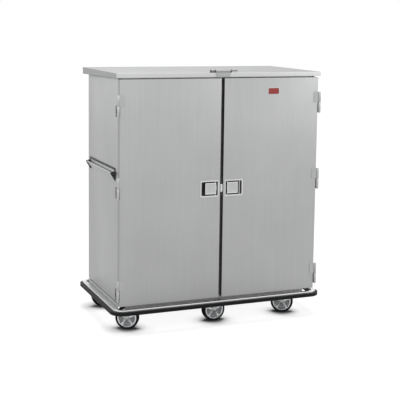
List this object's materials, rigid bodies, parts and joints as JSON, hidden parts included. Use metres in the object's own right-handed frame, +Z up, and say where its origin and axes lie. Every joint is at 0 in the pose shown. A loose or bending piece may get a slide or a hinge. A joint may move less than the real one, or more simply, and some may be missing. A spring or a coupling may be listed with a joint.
{
  "type": "enclosed pan transport cart",
  "caption": "Enclosed stainless cart for food pans: two latched full-height doors, push handles, a bumper round the base and casters.",
  "frame": {"origin": "centre of the base on the floor, midway between the bumper's sides", "axes": "+Z up, +X to the right of someone facing the doors, -Y out of the doors"},
  "size_m": [1.47, 0.854, 1.668],
  "materials": {
    "shaded_steel": "mill stainless, shaded",
    "bright_steel": "bright stainless",
    "black_vinyl": "ribbed black vinyl",
    "brushed_steel": "brushed stainless sheet, vertical grain",
    "black_rubber": "black gasket",
    "chrome_nose": "polished chrome",
    "black_plastic": "moulded, fine grain",
    "red_enamel": "muted red enamel, thin steel border",
    "zinc_plate": "bright zinc plate",
    "grey_wheel_core": "cast, satin",
    "tyre_rubber": "moulded black rubber"
  },
  "bodies": {
    "cart_body": {"base_chassis": "shaded_steel", "cabinet_floor": "shaded_steel", "bumper_rail": "bright_steel", "bumper_vinyl": "black_vinyl", "side_panel_left": "brushed_steel", "side_panel_right": "brushed_steel", "back_panel": "brushed_steel", "top_cap": "brushed_steel", "face_frame": "brushed_steel", "centre_partition": "brushed_steel", "pan_slide_left": "brushed_steel", "pan_slide_right": "brushed_steel", "hinge_leaf_left_1": "bright_steel", "hinge_leaf_left_2": "bright_steel", "hinge_leaf_left_3": "bright_steel", "hinge_leaf_right_1": "bright_steel", "hinge_leaf_right_2": "bright_steel", "hinge_leaf_right_3": "bright_steel", "latch_strike": "chrome_nose", "transport_latch_bracket": "shaded_steel", "handle_frame_left": "black_plastic", "handle_grip_left": "bright_steel", "handle_frame_right": "black_plastic", "handle_grip_right": "bright_steel", "caster_plate_front_left": "zinc_plate", "caster_plate_front_right": "zinc_plate", "caster_plate_rear_left": "zinc_plate", "caster_plate_rear_right": "zinc_plate", "caster_fork_mid_front": "zinc_plate", "caster_fork_mid_rear": "zinc_plate"},
    "door_left": {"door_shell_left": "brushed_steel", "door_liner_left": "brushed_steel", "door_gasket_left": "black_rubber", "latch_cup_left": "bright_steel"},
    "door_right": {"door_shell_right": "brushed_steel", "door_liner_right": "brushed_steel", "door_gasket_right": "black_rubber", "latch_cup_right": "bright_steel", "name_plate": "red_enamel"},
    "paddle_left": {"latch_paddle_left": "bright_steel"},
    "bolt_left": {"latch_bolt_left": "bright_steel"},
    "paddle_right": {"latch_paddle_right": "bright_steel"},
    "bolt_right": {"latch_bolt_right": "bright_steel"},
    "transport_latch": {"transport_latch_plate": "brushed_steel"},
    "swivel_front_left": {"caster_fork_front_left": "zinc_plate"},
    "wheel_front_left": {"wheel_core_front_left": "grey_wheel_core", "wheel_tyre_front_left": "tyre_rubber"},
    "swivel_front_right": {"caster_fork_front_right": "zinc_plate"},
    "wheel_front_right": {"wheel_core_front_right": "grey_wheel_core", "wheel_tyre_front_right": "tyre_rubber"},
    "swivel_rear_left": {"caster_fork_rear_left": "zinc_plate"},
    "wheel_rear_left": {"wheel_core_rear_left": "grey_wheel_core", "wheel_tyre_rear_left": "tyre_rubber"},
    "swivel_rear_right": {"caster_fork_rear_right": "zinc_plate"},
    "wheel_rear_right": {"wheel_core_rear_right": "grey_wheel_core", "wheel_tyre_rear_right": "tyre_rubber"},
    "wheel_mid_front": {"wheel_core_mid_front": "grey_wheel_core", "wheel_tyre_mid_front": "tyre_rubber"},
    "wheel_mid_rear": {"wheel_core_mid_rear": "grey_wheel_core", "wheel_tyre_mid_rear": "tyre_rubber"}
  },
  "joints": [
    {"name": "door_left_hinge", "type": "hinge", "parent": "cart_body", "child": "door_left", "pos_m": [-0.697, -0.39, 0.8995], "axis": [0, 0, -1], "range_deg": [0, 180]},
    {"name": "paddle_left_pivot", "type": "hinge", "parent": "door_left", "child": "paddle_left", "pos_m": [-0.041, -0.3821, 0.90592], "axis": [0, 0, 1], "range_deg": [0, 30], "stiffness_Nm_per_rad": 0.8, "springref_deg": -8.59},
    {"name": "bolt_left_slide", "type": "slide", "parent": "door_left", "child": "bolt_left", "axis": [-1, 0, 0], "range_m": [0, 0.0102]},
    {"name": "door_right_hinge", "type": "hinge", "parent": "cart_body", "child": "door_right", "pos_m": [0.697, -0.39, 0.8995], "axis": [0, 0, 1], "range_deg": [0, 180]},
    {"name": "paddle_right_pivot", "type": "hinge", "parent": "door_right", "child": "paddle_right", "pos_m": [0.041, -0.3821, 0.90592], "axis": [0, 0, -1], "range_deg": [0, 30], "stiffness_Nm_per_rad": 0.8, "springref_deg": -8.59},
    {"name": "bolt_right_slide", "type": "slide", "parent": "door_right", "child": "bolt_right", "axis": [1, 0, 0], "range_m": [0, 0.0102]},
    {"name": "transport_latch_flip", "type": "hinge", "parent": "cart_body", "child": "transport_latch", "pos_m": [0, -0.384, 1.6595], "axis": [1, 0, 0], "range_deg": [0, 270]},
    {"name": "swivel_front_left_turn", "type": "hinge", "parent": "cart_body", "child": "swivel_front_left", "pos_m": [-0.555, -0.274, 0.1777], "axis": [0, 0, 1], "continuous": true},
    {"name": "wheel_front_left_spin", "type": "hinge", "parent": "swivel_front_left", "child": "wheel_front_left", "pos_m": [-0.59042, -0.25541, 0.0762], "axis": [-0.4648, -0.8854, 0], "continuous": true},
    {"name": "swivel_front_right_turn", "type": "hinge", "parent": "cart_body", "child": "swivel_front_right", "pos_m": [0.555, -0.274, 0.1777], "axis": [0, 0, 1], "continuous": true},
    {"name": "wheel_front_right_spin", "type": "hinge", "parent": "swivel_front_right", "child": "wheel_front_right", "pos_m": [0.51958, -0.25541, 0.0762], "axis": [-0.4648, -0.8854, 0], "continuous": true},
    {"name": "swivel_rear_left_turn", "type": "hinge", "parent": "cart_body", "child": "swivel_rear_left", "pos_m": [-0.555, 0.288, 0.1777], "axis": [0, 0, 1], "continuous": true},
    {"name": "wheel_rear_left_spin", "type": "hinge", "parent": "swivel_rear_left", "child": "wheel_rear_left", "pos_m": [-0.595, 0.288, 0.0762], "axis": [0, -1, 0], "continuous": true},
    {"name": "swivel_rear_right_turn", "type": "hinge", "parent": "cart_body", "child": "swivel_rear_right", "pos_m": [0.555, 0.288, 0.1777], "axis": [0, 0, 1], "continuous": true},
    {"name": "wheel_rear_right_spin", "type": "hinge", "parent": "swivel_rear_right", "child": "wheel_rear_right", "pos_m": [0.51561, 0.29495, 0.0762], "axis": [-0.1736, -0.9848, 0], "continuous": true},
    {"name": "wheel_mid_front_spin", "type": "hinge", "parent": "cart_body", "child": "wheel_mid_front", "pos_m": [0, -0.274, 0.0762], "axis": [0, 1, 0], "continuous": true},
    {"name": "wheel_mid_rear_spin", "type": "hinge", "parent": "cart_body", "child": "wheel_mid_rear", "pos_m": [0, 0.288, 0.0762], "axis": [0, 1, 0], "continuous": true}
  ],
  "couplings": [
    {"joint": "bolt_left_slide", "follows": "paddle_left_pivot", "m_per_rad": 0.019099},
    {"joint": "bolt_right_slide", "follows": "paddle_right_pivot", "m_per_rad": 0.019099}
  ]
}
